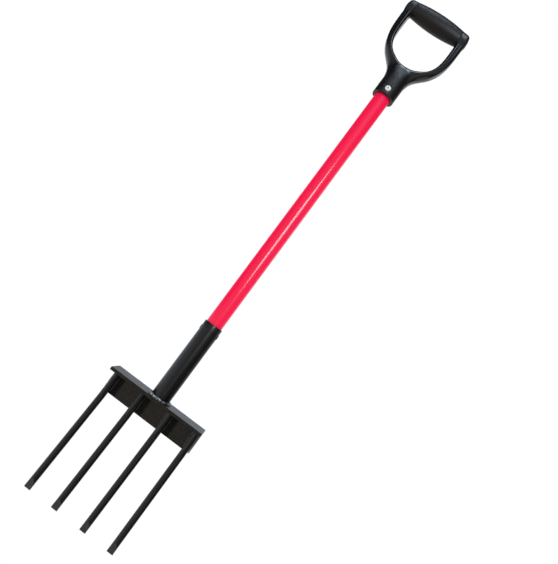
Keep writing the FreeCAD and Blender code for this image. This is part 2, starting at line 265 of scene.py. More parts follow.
def red_fibreglass():
    p = Paint("red_fibreglass")
    fibres = p.noise(scale=900.0, rough=0.6, stretch=(1.0, 1.0, 0.03))
    p.feed(Base_Color=p.blend(fibres, dark=(0.885, 0.0024, 0.060), light=(0.915, 0.0038, 0.069),
                              over=(0.25, 0.75)))
    haze = p.noise(scale=30.0, detail=2.0, rough=0.5, stretch=(1, 1, 0.15))
    p.feed(Roughness=p.span(haze, out=(0.145, 0.165)), Specular_IOR_Level=0.5)
    return p.mat


def yoke_plastic():
    """Black plastic, glossiest under the fork of the arms and duller elsewhere."""
    p = Paint("yoke_plastic")
    cloud = p.noise(scale=70.0, rough=0.5)
    p.feed(Base_Color=p.blend(cloud, dark=(0.0034, 0.0033, 0.0034),
                              light=(0.0052, 0.0050, 0.0051)))
    y, z, away = p.axes()
    # the mask is strongest on the middle line, below the fork, and raises the roughness
    middle = p.span(away, out=(0.28, 0.0), over=(8.0 * MM, 19.0 * MM))
    under = p.span(z, out=(1.0, 0.0), over=(YOKE_FORK - 4.0 * MM, YOKE_FORK - 1.0 * MM))
    dull = p.math("MULTIPLY", middle, under)
    base = p.span(dull, out=(0.22, 0.50), over=(0.0, 0.28))
    high = p.span(z, out=(0.0, 0.2), over=(GRIP_MAX.z - 40.0 * MM, GRIP_MAX.z - 31.0 * MM))
    both = p.math("ADD", base, high)
    uneven = p.span(p.noise(scale=220.0, rough=0.6), out=(-0.02, 0.05))
    p.feed(Roughness=p.math("ADD", both, uneven), Specular_IOR_Level=0.55)
    p.bump(p.noise(scale=1300.0, detail=2.0, rough=0.5), depth=0.00003, strength=0.1)
    return p.mat


def sleeve_rubber():
    p = Paint("sleeve_rubber")
    cells = p.voronoi(scale=750.0)
    p.feed(Base_Color=p.blend(cells, dark=(0.0035, 0.0032, 0.0031),
                              light=(0.0062, 0.0058, 0.0056), over=(0.1, 0.6)))
    p.feed(Roughness=0.48, Specular_IOR_Level=0.40)
    p.bump(cells, depth=0.00016, strength=0.25)
    p.bump(p.noise(scale=1500.0, detail=2.0, rough=0.6), depth=0.0001, strength=0.25)
    return p.mat


def bright_metal(name, base, rough, metallic=1.0):
    p = Paint(name)
    dark = tuple(c * 0.88 for c in base)
    p.feed(Base_Color=p.blend(p.noise(scale=600.0, rough=0.6), dark, base))
    p.feed(Roughness=p.span(p.noise(scale=360.0, detail=2.0, rough=0.5), out=rough))
    p.feed(Metallic=metallic)
    p.bump(p.noise(scale=1020.0, detail=2.0, rough=0.5), depth=0.00005, strength=0.3)
    return p.mat


def plug_wood():
    p = Paint("plug_wood")
    grain = p.noise(scale=260.0, detail=5.0, rough=0.65, stretch=(1.0, 1.0, 0.06))
    p.feed(Base_Color=p.blend(grain, dark=(0.36, 0.21, 0.10), light=(0.62, 0.43, 0.24)))
    p.feed(Roughness=0.7)
    p.bump(grain, depth=0.0003, strength=0.4)
    return p.mat


def crossbar_paint():
    """Dull rolled-steel black, with a painted highlight in pale bluish on the sawn ends of the
    hanging leg.
    """
    p = Paint("black_paint")
    mottled = p.noise(scale=150.0, detail=5.0, rough=0.65)
    body = p.blend(mottled, dark=(0.0034, 0.0030, 0.0026), light=(0.0062, 0.0056, 0.0049))
    specks = p.noise(scale=620.0, detail=2.0, rough=0.5)
    speckled = p.mix(p.span(specks, out=(0.0, 0.65), over=(0.62, 0.72)),
                     body, (0.0012, 0.0011, 0.0010))
    y, z, away = p.axes()
    # painted highlight: the ends of the hanging leg get a pale bluish colour that stands in for
    # the light they catch from the right
    ends = p.span(away, out=(0.0, 1.0), over=(BAR_MAX.x - 3.6 * MM, BAR_MAX.x - 3.2 * MM))
    below = p.span(z, out=(1.0, 0.0), over=(BAR_MAX.z - 7.5 * MM, BAR_MAX.z - 6.0 * MM))
    front = p.span(y, out=(1.0, 0.0), over=(BAR_MAX.y - 0.9 * MM, BAR_MAX.y - 0.6 * MM))
    mask = p.math("MULTIPLY", p.math("MULTIPLY", ends, below), front)
    p.feed(Base_Color=p.mix(mask, speckled, (0.20, 0.23, 0.26)))
    p.feed(Roughness=p.span(p.noise(scale=160.0, rough=0.5), out=(0.27, 0.38)))
    p.feed(Specular_IOR_Level=0.09)
    p.bump(p.noise(scale=60.0, detail=2.0, rough=0.5), depth=0.0004, strength=0.1)
    p.bump(specks, depth=0.00012, strength=0.3)
    return p.mat


BAR_PAINT = crossbar_paint()
TINE_PAINT = painted_steel("tine_paint", dark=(0.0006, 0.0006, 0.0006),
                           light=(0.0013, 0.0013, 0.0012), rough=(0.24, 0.31),
                           stretch=(1, 1, 0.25), wave=0.06)
FACET_PAINT = painted_steel("facet_paint", dark=(0.0082, 0.0073, 0.0068),
                            light=(0.0116, 0.0105, 0.0098), rough=(0.45, 0.6),
                            grain_depth=0.00002, grain_strength=0.1, spec=0.3, wave=0.02)
TUBE_PAINT = painted_steel("tube_paint", dark=(0.0012, 0.0011, 0.0010),
                           light=(0.0024, 0.0022, 0.0019), rough=(0.25, 0.32),
                           stretch=(1, 1, 0.12), wave=0.02)
WELD_PAINT = weld_paint()
RED = red_fibreglass()
YOKE_PLASTIC = yoke_plastic()
RUBBER = sleeve_rubber()
ALUMINIUM = bright_metal("rivet_aluminium", base=(0.93, 0.93, 0.92), rough=(0.34, 0.46),
                         metallic=0.35)
STEEL = bright_metal("mandrel_steel", base=(0.46, 0.47, 0.49), rough=(0.35, 0.5))
WOOD = plug_wood()
BEAD_PAINT = painted_steel("bead_paint", dark=(0.006, 0.006, 0.006),
                           light=(0.012, 0.012, 0.012), rough=(0.32, 0.42),
                           grain_scale=520, grain_depth=0.0002, grain_strength=0.5)


# ------------------------------------------------------------------ mesh helpers
def enclosed(mesh):
    """Signed volume: negative when the faces are wound inwards."""
    total = 0.0
    for poly in mesh.polygons:
        c = [mesh.vertices[i].co for i in poly.vertices]
        for k in range(1, len(c) - 1):
            total += c[0].dot(c[k].cross(c[k + 1]))
    return total / 6.0


def finish_piece(name, mesh, material, node, sharp):
    """Put a mesh in the scene in place of a CAD node; edges over `sharp` degrees stay hard."""
    ob = bpy.data.objects.new(name, mesh)
    scene.collection.objects.link(ob)
    mesh.materials.append(material)
    mesh.polygons.foreach_set("use_smooth", [True] * len(mesh.polygons))
    if sharp is not None:
        mesh.set_sharp_from_angle(angle=math.radians(sharp))
    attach(ob, "root")
    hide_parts(node)
    return ob


def piece(name, verts, faces, material, slot, node, sharp):
    mesh = bpy.data.meshes.new(name)
    mesh.from_pydata([tuple(map(float, v)) for v in verts], [],
                     [tuple(map(int, f)) for f in faces])
    mesh.validate()
    if enclosed(mesh) < 0:
        mesh.flip_normals()
    mesh.update()
    return finish_piece(name, mesh, material, node, sharp)


def round_edges(ob, width, segments, angle):
    bevel = ob.modifiers.new("edges", "BEVEL")
    bevel.width = width
    bevel.segments = segments
    bevel.limit_method = "ANGLE"
    bevel.angle_limit = math.radians(angle)
    bevel.harden_normals = True


def grid_faces(rows, cols, wrap_rows=False):
    """Quads between rows of points, each row a closed loop."""
    out = []
    for i in range(rows if wrap_rows else rows - 1):
        for j in range(cols):
            here, after = i * cols, ((i + 1) % rows) * cols
            out.append((here + j, here + (j + 1) % cols, after + (j + 1) % cols, after + j))
    return out


def capped_faces(rows, cols):
    """An open grid with a cap on its first and last rows."""
    faces = grid_faces(rows, cols)
    faces.append(tuple(range(cols))[::-1])
    faces.append(tuple(range((rows - 1) * cols, rows * cols)))
    return faces


def turned(name, profile, centre, axis, segments, reverse=False, ring=True, **finish):
    """Turn (radius, height) pairs in metres about an axis through centre.

    A ring joins the end of its profile to the start; otherwise both ends are capped.
    `reverse` lists the face corners backwards; piece() still turns the faces outwards.
    """
    verts = []
    for radius, height in profile:
        for k in range(segments):
            angle = 2 * math.pi * k / segments
            u, v = radius * math.cos(angle), radius * math.sin(angle)
            p = {"Z": (u, v, height), "X": (height, u, v), "Y": (v, height, u)}[axis]
            verts.append((p[0] + centre[0], p[1] + centre[1], p[2] + centre[2]))
    rows = len(profile)
    faces = grid_faces(rows, segments, True) if ring else capped_faces(rows, segments)
    if reverse:
        faces = [face[::-1] for face in faces]
    piece(name, verts, faces, **finish)


def cubic_through(points):
    """A smooth function through (x, y) pairs, with slopes taken from their neighbours."""
    xs = np.array([p[0] for p in points], float)
    ys = np.array([p[1] for p in points], float)
    slope = np.gradient(ys, xs)

    def curve(x):
        x = np.clip(x, xs[0], xs[-1])
        i = np.clip(np.searchsorted(xs, x) - 1, 0, len(xs) - 2)
        gap = xs[i + 1] - xs[i]
        t = (x - xs[i]) / gap
        return ((2 * t**3 - 3 * t**2 + 1) * ys[i] + (t**3 - 2 * t**2 + t) * gap * slope[i]
                + (-2 * t**3 + 3 * t**2) * ys[i + 1] + (t**3 - t**2) * gap * slope[i + 1])

    return curve


# ------------------------------------------------------------------ crossbar
BAR_THICK = 6.35 * MM
BAR_FILLET = 3.0 * MM   # in the inner corner of the angle
BAR_TOE = 1.6 * MM      # rounding under the front edge of the ledge
BAR_CHAMFER = 3.4 * MM  # on the front of the hanging leg, at each end


def crossbar():
    """An angle section: a ledge on top, with a leg hanging from its back edge."""
    back, front, top, bottom = BAR_MAX.y, BAR_MIN.y, BAR_MAX.z, BAR_MIN.z
    under, plate = top - BAR_THICK, back - BAR_THICK
    toe, fillet = BAR_TOE, BAR_FILLET
    profile = [(back, top), (front, top), (front, under + toe)]
    for k in range(1, 6):
        a = math.pi / 2 * k / 5
        profile.append((front + toe - toe * math.cos(a), under + toe - toe * math.sin(a)))
    for k in range(0, 9):
        a = math.pi / 2 * k / 8
        profile.append((plate - fillet + fillet * math.sin(a),
                        under - fillet + fillet * math.cos(a)))
    profile.append((plate, under - fillet - 0.8 * MM))
    chamfered = (len(profile), len(profile) + 1)
    profile += [(plate, under - fillet - 3.8 * MM), (plate, bottom), (back, bottom)]
    xs = [BAR_MIN.x, *np.linspace(BAR_MIN.x + BAR_CHAMFER, BAR_MAX.x - BAR_CHAMFER, 25),
          BAR_MAX.x]
    verts = []
    for i, x in enumerate(xs):
        end = i in (0, len(xs) - 1)
        for j, (y, z) in enumerate(profile):
            if end and j in chamfered:
                y += BAR_CHAMFER
            verts.append((x, y, z))
    ob = piece("crossbar", verts, capped_faces(len(xs), len(profile)), BAR_PAINT, "black_paint",
               "crossbar_angle", sharp=40)
    round_edges(ob, width=0.55 * MM, segments=3, angle=35)


crossbar()


# ------------------------------------------------------------------ tines
LEAN = math.radians(9.0)  # how far the lower part leans forward
KINK_Z, KINK_R = -32.6 * MM, 38.0 * MM
BEVEL_LENGTH, TIP_THICK = 19.0 * MM, 6.0 * MM
TINE_SEGMENTS = 40


def tine(i):
    """A round bar, bent forward and cut to a chisel on its front; returns its x and radius."""
    low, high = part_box(f"tine_{i}")
    x, radius = (low.x + high.x) / 2, (high.x - low.x) / 2
    y = high.y - radius
    run = KINK_R * math.tan(LEAN / 2)
    down = Vector((0, -math.sin(LEAN), -math.cos(LEAN)))
    front = Vector((0, -math.cos(LEAN), math.sin(LEAN)))
    kink = Vector((x, y, KINK_Z))
    # the back edge of the square end is the lowest point of the bar
    tip_z = low.z + radius * math.sin(LEAN)
    length = (KINK_Z - tip_z) / math.cos(LEAN)

    # stations along the bar: centre and direction
    stations = [(Vector((x, y, z)), Vector((0, 0, -1)))
                for z in np.linspace(high.z, KINK_Z + run, 10)[:-1]]
    centre = Vector((x, y - KINK_R, KINK_Z + run))
    for k in range(9):
        a = LEAN * k / 8
        stations.append((centre + Vector((0, math.cos(a), -math.sin(a))) * KINK_R,
                         Vector((0, -math.sin(a), -math.cos(a)))))
    start = kink + down * run
    for along in np.linspace(0, length - run, 30)[1:]:
        stations.append((start + down * along, down))

    bm = bmesh.new()
    rings = []
    for point, heading in stations:
        across = Vector((0, heading.z, -heading.y)).normalized()
        ring = []
        for k in range(TINE_SEGMENTS):
            a = 2 * math.pi * k / TINE_SEGMENTS
            ring.append(bm.verts.new(point + Vector((1, 0, 0)) * (radius * math.cos(a))
                                     + across * (radius * math.sin(a))))
        rings.append(ring)
    for ring, after in zip(rings, rings[1:]):
        for k in range(TINE_SEGMENTS):
            j = (k + 1) % TINE_SEGMENTS
            bm.faces.new((ring[k], ring[j], after[j], after[k]))
    bm.faces.new(rings[0][::-1])
    bm.faces.new(rings[-1])

    end = stations[-1][0]
    facet_top = end - down * BEVEL_LENGTH + front * radius
    facet_tip = end + front * (TIP_THICK - radius)
    slope = (facet_tip - facet_top).normalized()
    normal = slope.cross(Vector((1, 0, 0))).normalized()
    if normal.dot(front) < 0:
        normal = -normal
    cut = bmesh.ops.bisect_plane(bm, geom=bm.verts[:] + bm.edges[:] + bm.faces[:],
                                 plane_co=facet_tip, plane_no=normal, clear_outer=True)
    edges = [g for g in cut["geom_cut"] if isinstance(g, bmesh.types.BMEdge) and g.is_boundary]
    bmesh.ops.holes_fill(bm, edges=edges, sides=0)
    # drop any face that lies on top of another
    seen = set()
    for face in list(bm.faces):
        key = tuple(round(c * 1e6) for c in face.calc_center_median())
        if key in seen:
            bm.faces.remove(face)
        else:
            seen.add(key)
    bmesh.ops.recalc_face_normals(bm, faces=bm.faces[:])
    mesh = bpy.data.meshes.new(f"tine_bar_{i}")
    bm.to_mesh(mesh)
    bm.free()
    ob = finish_piece(f"tine_bar_{i}", mesh, TINE_PAINT, f"tine_{i}", sharp=40)
    mesh.materials.append(FACET_PAINT)
    for poly in mesh.polygons:
        at_tip = poly.center.z < tip_z + BEVEL_LENGTH
        if abs(poly.normal.dot(normal)) > 0.995 and at_tip and poly.area > 1e-5:
            poly.material_index = 1
    round_edges(ob, width=0.4 * MM, segments=2, angle=28)
    return x, radius


BEAD_ROWS, BEAD_SEGMENTS = 72, 12
BEAD_R = 1.45 * MM
BEAD_RIPPLE, BEAD_PITCH = 0.22 * MM, 2.6 * MM


def bead_strip(name, node, side, tine_x, tine_r, seed):
    """Rippled bead lying in the groove between a tine and the hanging leg."""
    low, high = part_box(node)
    rng = np.random.default_rng(seed)
    x = tine_x + side * (tine_r * 0.93)
    y = high.y - 1.15 * MM
    sway = np.cumsum(rng.normal(0, 0.05, BEAD_ROWS)) * MM
    sway -= np.linspace(sway[0], sway[-1], BEAD_ROWS)
    verts = []
    for k, z in enumerate(np.linspace(low.z, high.z, BEAD_ROWS)):
        t = k / (BEAD_ROWS - 1)
        taper = min(1.0, 7.0 * t + 0.12, 7.0 * (1 - t) + 0.12) ** 0.5
        ripple = abs(math.sin(math.pi * (z / BEAD_PITCH) + seed)) * BEAD_RIPPLE
        radius = (BEAD_R + ripple) * taper
        for j in range(BEAD_SEGMENTS):
            a = 2 * math.pi * j / BEAD_SEGMENTS
            verts.append((x + sway[k] + 1.25 * radius * math.cos(a),
                          y + 1.05 * radius * math.sin(a), z))
    piece(name, verts, capped_faces(BEAD_ROWS, BEAD_SEGMENTS), BEAD_PAINT, "weld_paint", node,
          sharp=60)


for i in range(1, 5):
    tine_x, tine_r = tine(i)
    for k, (word, side) in enumerate((("left", -1), ("right", 1)), 1):
        bead_strip(f"tine_bead_{i}_{word}", f"tine_{i}_weld_{word}", side, tine_x, tine_r,
                   seed=10 * i + k)


# ------------------------------------------------------------------ socket tube and its weld
SOCKET_MIN, SOCKET_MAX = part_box("socket_tube")
SOCKET_R = (SOCKET_MAX.x - SOCKET_MIN.x) / 2
AXIS_X = (SOCKET_MIN.x + SOCKET_MAX.x) / 2
AXIS_Y = (SOCKET_MIN.y + SOCKET_MAX.y) / 2
HANDLE_MIN, HANDLE_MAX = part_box("handle_tube")
HANDLE_R = (HANDLE_MAX.x - HANDLE_MIN.x) / 2
HANDLE_BORE_R = 12.75 * MM


def pipe(name, outer, inner, z0, z1, edge, **finish):
    """A pipe on the fork's axis, with its outer edges rounded to the radius `edge`."""
    quarter = [math.pi / 2 * k / 5 for k in range(6)]
    profile = [(inner, z0), (outer - edge, z0)]
    for a in quarter[1:]:
        profile.append((outer - edge + edge * math.sin(a), z0 + edge - edge * math.cos(a)))
    for z in np.linspace(z0 + edge, z1 - edge, 14)[1:-1]:
        profile.append((outer, z))
    for a in quarter:
        profile.append((outer - edge + edge * math.cos(a), z1 - edge + edge * math.sin(a)))
    profile += [(inner + edge * 0.5, z1), (inner, z1 - edge * 0.5)]
    turned(name, profile, (AXIS_X, AXIS_Y, 0), "Z", 128, reverse=True, sharp=45, **finish)


pipe("socket_pipe", SOCKET_R, HANDLE_R + 0.08 * MM, SOCKET_MIN.z, SOCKET_MAX.z, edge=0.7 * MM,
     material=TUBE_PAINT, slot="black_paint", node="socket_tube")

WELD_ROWS, WELD_SEGMENTS = 360, 22
WELD_LUMPS = 19
WELD_R = 2.7 * MM


def weld_ring():
    """A lumpy ring around the foot of the socket, heavier towards the front."""
    rng = np.random.default_rng(7)
    lumps = []  # bearing, size, width and tilt of each
    for k in range(WELD_LUMPS):
        a = 2 * math.pi * (k + rng.uniform(-0.28, 0.28)) / WELD_LUMPS
        front = max(0.0, -math.sin(a)) ** 1.5
        lumps.append((a, rng.uniform(0.55, 1.25) * (1 + 0.55 * front),
                      rng.uniform(0.11, 0.19), rng.uniform(-0.5, 0.9)))
    phis = np.array([2 * math.pi * j / WELD_SEGMENTS for j in range(WELD_SEGMENTS)])
    verts = []
    for i in range(WELD_ROWS):
        theta = 2 * math.pi * i / WELD_ROWS
        bulge = np.zeros(WELD_SEGMENTS)
        for a, size, width, tilt in lumps:
            turn = (theta - a + math.pi) % (2 * math.pi) - math.pi
            lift = ((phis - (0.8 + tilt * 0.5)) + math.pi) % (2 * math.pi) - math.pi
            around = np.exp(-(lift ** 2))
            bulge += size * 1.15 * MM * math.exp(-(turn / width) ** 2) * (0.45 + 0.75 * around)
        wander = 0.25 * MM * math.sin(5 * theta + 0.6) + 0.2 * MM * math.sin(11 * theta)
        for j in range(WELD_SEGMENTS):
            phi = 2 * math.pi * j / WELD_SEGMENTS
            radius = WELD_R + bulge[j]
            reach = SOCKET_R + 1.1 * MM + wander + radius * math.cos(phi)
            z = SOCKET_MIN.z + 0.6 * MM + radius * math.sin(phi)
            z = max(z, SOCKET_MIN.z - 0.9 * MM)
            verts.append((AXIS_X + reach * math.cos(theta), AXIS_Y + reach * math.sin(theta), z))
    piece("socket_foot_weld", verts, grid_faces(WELD_ROWS, WELD_SEGMENTS, True), WELD_PAINT,
          "weld_paint", "socket_weld_ring", sharp=80)


weld_ring()


def cross_rivet():
    """Low domed heads on both sides of the socket, their rims following the tube."""
    low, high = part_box("socket_cross_rivet")
    y_mid, z_mid = (low.y + high.y) / 2, (low.z + high.z) / 2
    head_r = (high.z - low.z) / 2
    proud = high.x - AXIS_X - SOCKET_R
    seg = 48
    profile = []  # radius, height above the tube
    for k in range(1, 11):
        a = k / 10 * math.pi / 2
        profile.append((head_r * math.sin(a), proud * (1 - 0.78 * (1 - math.cos(a)))))
    profile.append((head_r, -2.2 * MM))
    verts, faces = [], []
    for side in (-1, 1):
        base = len(verts)
        for radius, height in profile:
            for k in range(seg):
                a = 2 * math.pi * k / seg
                u, v = radius * math.cos(a), radius * math.sin(a)
                sag = SOCKET_R - math.sqrt(max(SOCKET_R * SOCKET_R - u * u, 0.0))
                verts.append((AXIS_X + side * (SOCKET_R - sag + height), y_mid + u, z_mid + v))
        apex = len(verts)
        verts.append((AXIS_X + side * (SOCKET_R + proud), y_mid, z_mid))
        for k in range(seg):
            faces.append((apex, base + k, base + (k + 1) % seg)[::side])
        for row in range(len(profile) - 1):
            for k in range(seg):
                a, b = base + row * seg + k, base + row * seg + (k + 1) % seg
                faces.append((b, a, a + seg, b + seg)[::side])
        last = base + (len(profile) - 1) * seg
        faces.append(tuple(last + k for k in range(seg))[::-side])
    piece("cross_rivet", verts, faces, TUBE_PAINT, "black_paint", "socket_cross_rivet", sharp=50)


cross_rivet()

# ------------------------------------------------------------------ handle and the plugs inside it
pipe("handle", HANDLE_R, HANDLE_BORE_R, HANDLE_MIN.z, HANDLE_MAX.z, edge=0.5 * MM,
     material=RED, slot="red_fibreglass", node="handle_tube")
for node in ("handle_lower_plug", "handle_upper_plug"):
    plug = frame["nodes"][node]
    plug.data.materials.clear()
    plug.data.materials.append(WOOD)


# ------------------------------------------------------------------ moulded yoke
# Sizes here are in millimetres: x and y from the fork's axis, z up from the socket's foot.
YOKE_MIN, YOKE_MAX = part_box("grip_yoke")
RIVET_MIN, RIVET_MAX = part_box("grip_rivet_body")
FOOT_Z = SOCKET_MIN.z / MM
AXIS_X_MM = AXIS_X / MM
GRIP_Z = (GRIP_MIN.z + GRIP_MAX.z) / 2 / MM - FOOT_Z
YOKE_Z0 = YOKE_MIN.z / MM - FOOT_Z
OUT_X = YOKE_MAX.x / MM - AXIS_X_MM
IN_X = GRIP_MAX.x / MM - AXIS_X_MM + 0.1  # inner faces of the end blocks
RIVET_Z = (RIVET_MIN.z + RIVET_MAX.z) / 2 / MM - FOOT_Z
BLOCK_R = YOKE_MAX.z / MM - FOOT_Z - GRIP_Z
CORE_R = 12.0  # bar through the grip sleeve
COLLAR_R = 23.0
RIVET_SEAT = COLLAR_R - 0.9  # the flat under the rivet lies this far in front of the axis
SEAT_R = 6.4
BORE_DEPTH = 57.5
CREST_INSET = 4.2  # from the edge of the opening out to the crest of an arm
CREST_DEPTH, DEPTH_FALL, DEPTH_TRIM = 12.9, 3.6, 0.1  # half depth of the arms and its fall

# right half of the yoke's outer edge, bottom up: x, z
OUTLINE = [
    (20.0, 752.0), (23.0, 757.0), (25.4, 764.0), (31.2, 774.0), (42.0, 786.0), (51.3, 796.0),
    (58.2, 806.3), (63.2, 817.0), (66.5, 828.0), (68.6, 838.5), (69.7, 849.0), (70.3, 861.0),
    (70.5, 874.0), (70.5, 890.0), (70.5, 902.5)]
# right half of the opening between the arms, bottom up: x, z
OPENING = [
    (0.0, 783.0), (10.0, 784.2), (18.5, 787.2), (27.0, 792.0), (35.4, 798.2), (43.2, 806.6),
    (48.5, 816.0), (51.6, 825.5), (53.3, 835.0), (54.2, 845.0), (54.5, 855.0), (54.5, 866.0),
    (54.3, 880.0), (54.2, 905.0)]
# half width (x) and half depth (y) of the neck: z, half size
NECK_WIDTH = cubic_through([
    (700, 23.0), (745, 23.0), (754, 23.0), (759.5, 23.3), (766, 24.8), (774, 28.2), (781, 32.2),
    (788.5, 37.0), (797, 41.5), (806, 44.5)])
NECK_DEPTH = cubic_through([
    (700, 23.0), (745, 23.0), (754, 22.9), (760, 22.2), (768, 20.4), (776, 18.0), (785, 15.6),
    (793, 13.8), (800, 12.8), (810, 12.2)])


def catmull(points):
    """Centripetal Catmull-Rom curve, eight steps between points."""
    pts = np.array(points, float)
    ext = np.vstack([2 * pts[0] - pts[1], pts, 2 * pts[-1] - pts[-2]])
    out = []
    for i in range(1, len(ext) - 2):
        a, b, c, d = ext[i - 1:i + 3]
        ta = 0.0
        tb = ta + np.linalg.norm(b - a) ** 0.5
        tc = tb + np.linalg.norm(c - b) ** 0.5
        td = tc + np.linalg.norm(d - c) ** 0.5
        for t in np.linspace(tb, tc, 8, endpoint=False):
            a1 = (tb - t) / (tb - ta) * a + (t - ta) / (tb - ta) * b
            a2 = (tc - t) / (tc - tb) * b + (t - tb) / (tc - tb) * c
            a3 = (td - t) / (td - tc) * c + (t - tc) / (td - tc) * d
            b1 = (tc - t) / (tc - ta) * a1 + (t - ta) / (tc - ta) * a2
            b2 = (td - t) / (td - tb) * a2 + (t - tb) / (td - tb) * a3
            out.append((tc - t) / (tc - tb) * b1 + (t - tb) / (tc - tb) * b2)
    out.append(pts[-1])
    return np.array(out)


def mirrored(half):
    """Mirror a right-hand outline, listed from the bottom up, into a closed polygon."""
    right = catmull(half)
    left = right[::-1].copy()
    left[:, 0] *= -1
    if abs(half[0][0]) < 1e-9:
        left = left[:-1]
    return np.vstack([right, left])


def polygon_distance(px, pz, poly):
    """Distance to the polygon's edge, negative inside."""
    nearest = np.full(px.shape, 1e18)
    inside = np.zeros(px.shape, bool)
    for i in range(len(poly)):
        ax, az = poly[i]
        bx, bz = poly[(i + 1) % len(poly)]
        ex, ez = bx - ax, bz - az
        wx, wz = px - ax, pz - az
        t = np.clip((wx * ex + wz * ez) / max(ex * ex + ez * ez, 1e-12), 0, 1)
        dx, dz = wx - ex * t, wz - ez * t
        np.minimum(nearest, dx * dx + dz * dz, out=nearest)
        crosses = (az > pz) != (bz > pz)
        inside ^= crosses & (px < ax + (pz - az) * ex / (ez if ez else 1e-12))
    distance = np.sqrt(nearest)
    return np.where(inside, -distance, distance)


def smooth_min(a, b, k):
    h = np.clip(0.5 + 0.5 * (b - a) / k, 0, 1)
    return b + (a - b) * h - k * h * (1 - h)


def smooth_max(a, b, k):
    return -smooth_min(-a, -b, k)


def rounded(a, b, r):
    """Intersection of two distance fields with its edge rounded to radius r."""
    outside = np.sqrt(np.maximum(a + r, 0) ** 2 + np.maximum(b + r, 0) ** 2)
    return outside + np.minimum(np.maximum(a + r, b + r), 0) - r


def yoke_field(x, y, z, d_out, d_open):
    """Signed field of the yoke; d_out, d_open: distances to the outline and the opening."""
    # arms, deepest along a crest that follows the opening
    out = d_open - CREST_INSET
    fall = 0.66 * (np.sqrt(out * out + 1.0) - 1.0)
    depth = CREST_DEPTH - DEPTH_FALL * (1 - np.exp(-fall / DEPTH_FALL)) - DEPTH_TRIM
    outer = rounded(d_out, np.abs(y) - depth, np.where(y < 0, 5.5, 3.0))
    arms = np.maximum(outer, rounded(-d_open, np.abs(y) - depth, 3.2))
    # neck, round at the foot and widening into the arms
    width, deep = NECK_WIDTH(z), NECK_DEPTH(z)
    ellipse = np.sqrt((x / width) ** 2 + (y / deep) ** 2)
    neck = (ellipse - 1) * np.minimum(width, deep)
    neck = smooth_max(neck, -d_open, 5.0)
    neck = smooth_max(neck, z - 803.0, 12.0)
    neck = rounded(neck, YOKE_Z0 - z, 0.8)
    body = smooth_min(arms, neck, 6.0)
    # end blocks, with the gap for the sleeve cleared between them, and the core bar
    radial = np.sqrt(y**2 + (z - GRIP_Z) ** 2)
    taper = 0.09 * np.maximum(np.abs(x) - IN_X, 0.0)
    block = rounded(radial - (BLOCK_R - taper), np.abs(x) - OUT_X, 7.0)
    body = smooth_min(body, block, 6.0)
    gap = smooth_max(body, IN_X - np.abs(x), 0.5)
    body = np.where(z > GRIP_Z - BLOCK_R - 9, gap, body)
    body = np.minimum(body, np.maximum(radial - CORE_R, np.abs(x) - IN_X - 2))
    # bore for the handle and flat seat for the rivet
    bore = np.maximum(np.sqrt(x**2 + y**2) - (HANDLE_R / MM + 0.08),
                      z - (YOKE_Z0 + BORE_DEPTH))
    body = smooth_max(body, -bore, 0.9)
    seat = np.maximum(np.sqrt(x**2 + (z - RIVET_Z) ** 2) - SEAT_R, y + RIVET_SEAT)
    return smooth_max(body, -seat, 0.7)


def surface_nets(field):
    """Quads around the zero level of a 3D grid; vertices come out in grid steps."""
    nx, ny, nz = field.shape
    corners = [(i, j, k) for i in (0, 1) for j in (0, 1) for k in (0, 1)]
    values = {c: field[c[0]:nx - 1 + c[0], c[1]:ny - 1 + c[1], c[2]:nz - 1 + c[2]]
              for c in corners}
    count = sum((v < 0).astype(np.int8) for v in values.values())
    active = (count > 0) & (count < 8)
    cells = np.argwhere(active)
    index = np.full(active.shape, -1, np.int64)
    index[active] = np.arange(len(cells))
    values = {c: v[active] for c, v in values.items()}
    # each vertex is the mean of the crossings on its cell's edges
    total, hits = np.zeros((len(cells), 3)), np.zeros(len(cells))
    for a in corners:
        for axis in range(3):
            if a[axis]:
                continue
            b = tuple(a[i] + (1 if i == axis else 0) for i in range(3))
            fa, fb = values[a], values[b]
            cross = (fa < 0) != (fb < 0)
            t = np.where(cross, fa / np.where(cross, fa - fb, 1), 0)
            point = np.tile(np.array(a, float), (len(cells), 1))
            point[:, axis] += t
            total[cross] += point[cross]
            hits[cross] += 1
    verts = cells + total / hits[:, None]
    # each crossed grid edge gives a quad between the four cells around it
    quads = []
    solid = field < 0
    for axis in range(3):
        near, far = [slice(1, -1)] * 3, [slice(1, -1)] * 3
        near[axis], far[axis] = slice(0, -1), slice(1, None)
        s0, s1 = solid[tuple(near)], solid[tuple(far)]
        start = s0[s0 != s1]
        offset = np.ones(3, int)
        offset[axis] = 0
        edges = np.argwhere(s0 != s1) + offset
        u, v = [i for i in range(3) if i != axis]
        if axis == 1:
            u, v = v, u
        quad = []
        for du, dv in ((0, 0), (-1, 0), (-1, -1), (0, -1)):
            c = edges.copy()
            c[:, u] += du
            c[:, v] += dv
            quad.append(index[c[:, 0], c[:, 1], c[:, 2]])
        quad = np.stack(quad, 1)
        quad[~start] = quad[~start][:, ::-1]
        quads.append(quad)
    return verts, np.vstack(quads)


def taubin(verts, quads, rounds=4, shrink=0.5, swell=-0.53):
    """Smooth without losing volume, by shrinking and swelling in turn."""
    edges = np.vstack([quads[:, [0, 1]], quads[:, [1, 2]], quads[:, [2, 3]], quads[:, [3, 0]]])
    edges = np.unique(np.sort(edges, 1), axis=0)
    start, end = edges[:, 0], edges[:, 1]
    n = len(verts)
    degree = np.bincount(edges.ravel(), minlength=n).astype(float)
    v = verts.copy()
    for _ in range(rounds):
        for weight in (shrink, swell):
            near = np.stack([np.bincount(start, v[end, i], n) + np.bincount(end, v[start, i], n)
                             for i in range(3)], 1)
            v = v + weight * (near / degree[:, None] - v)
    return v


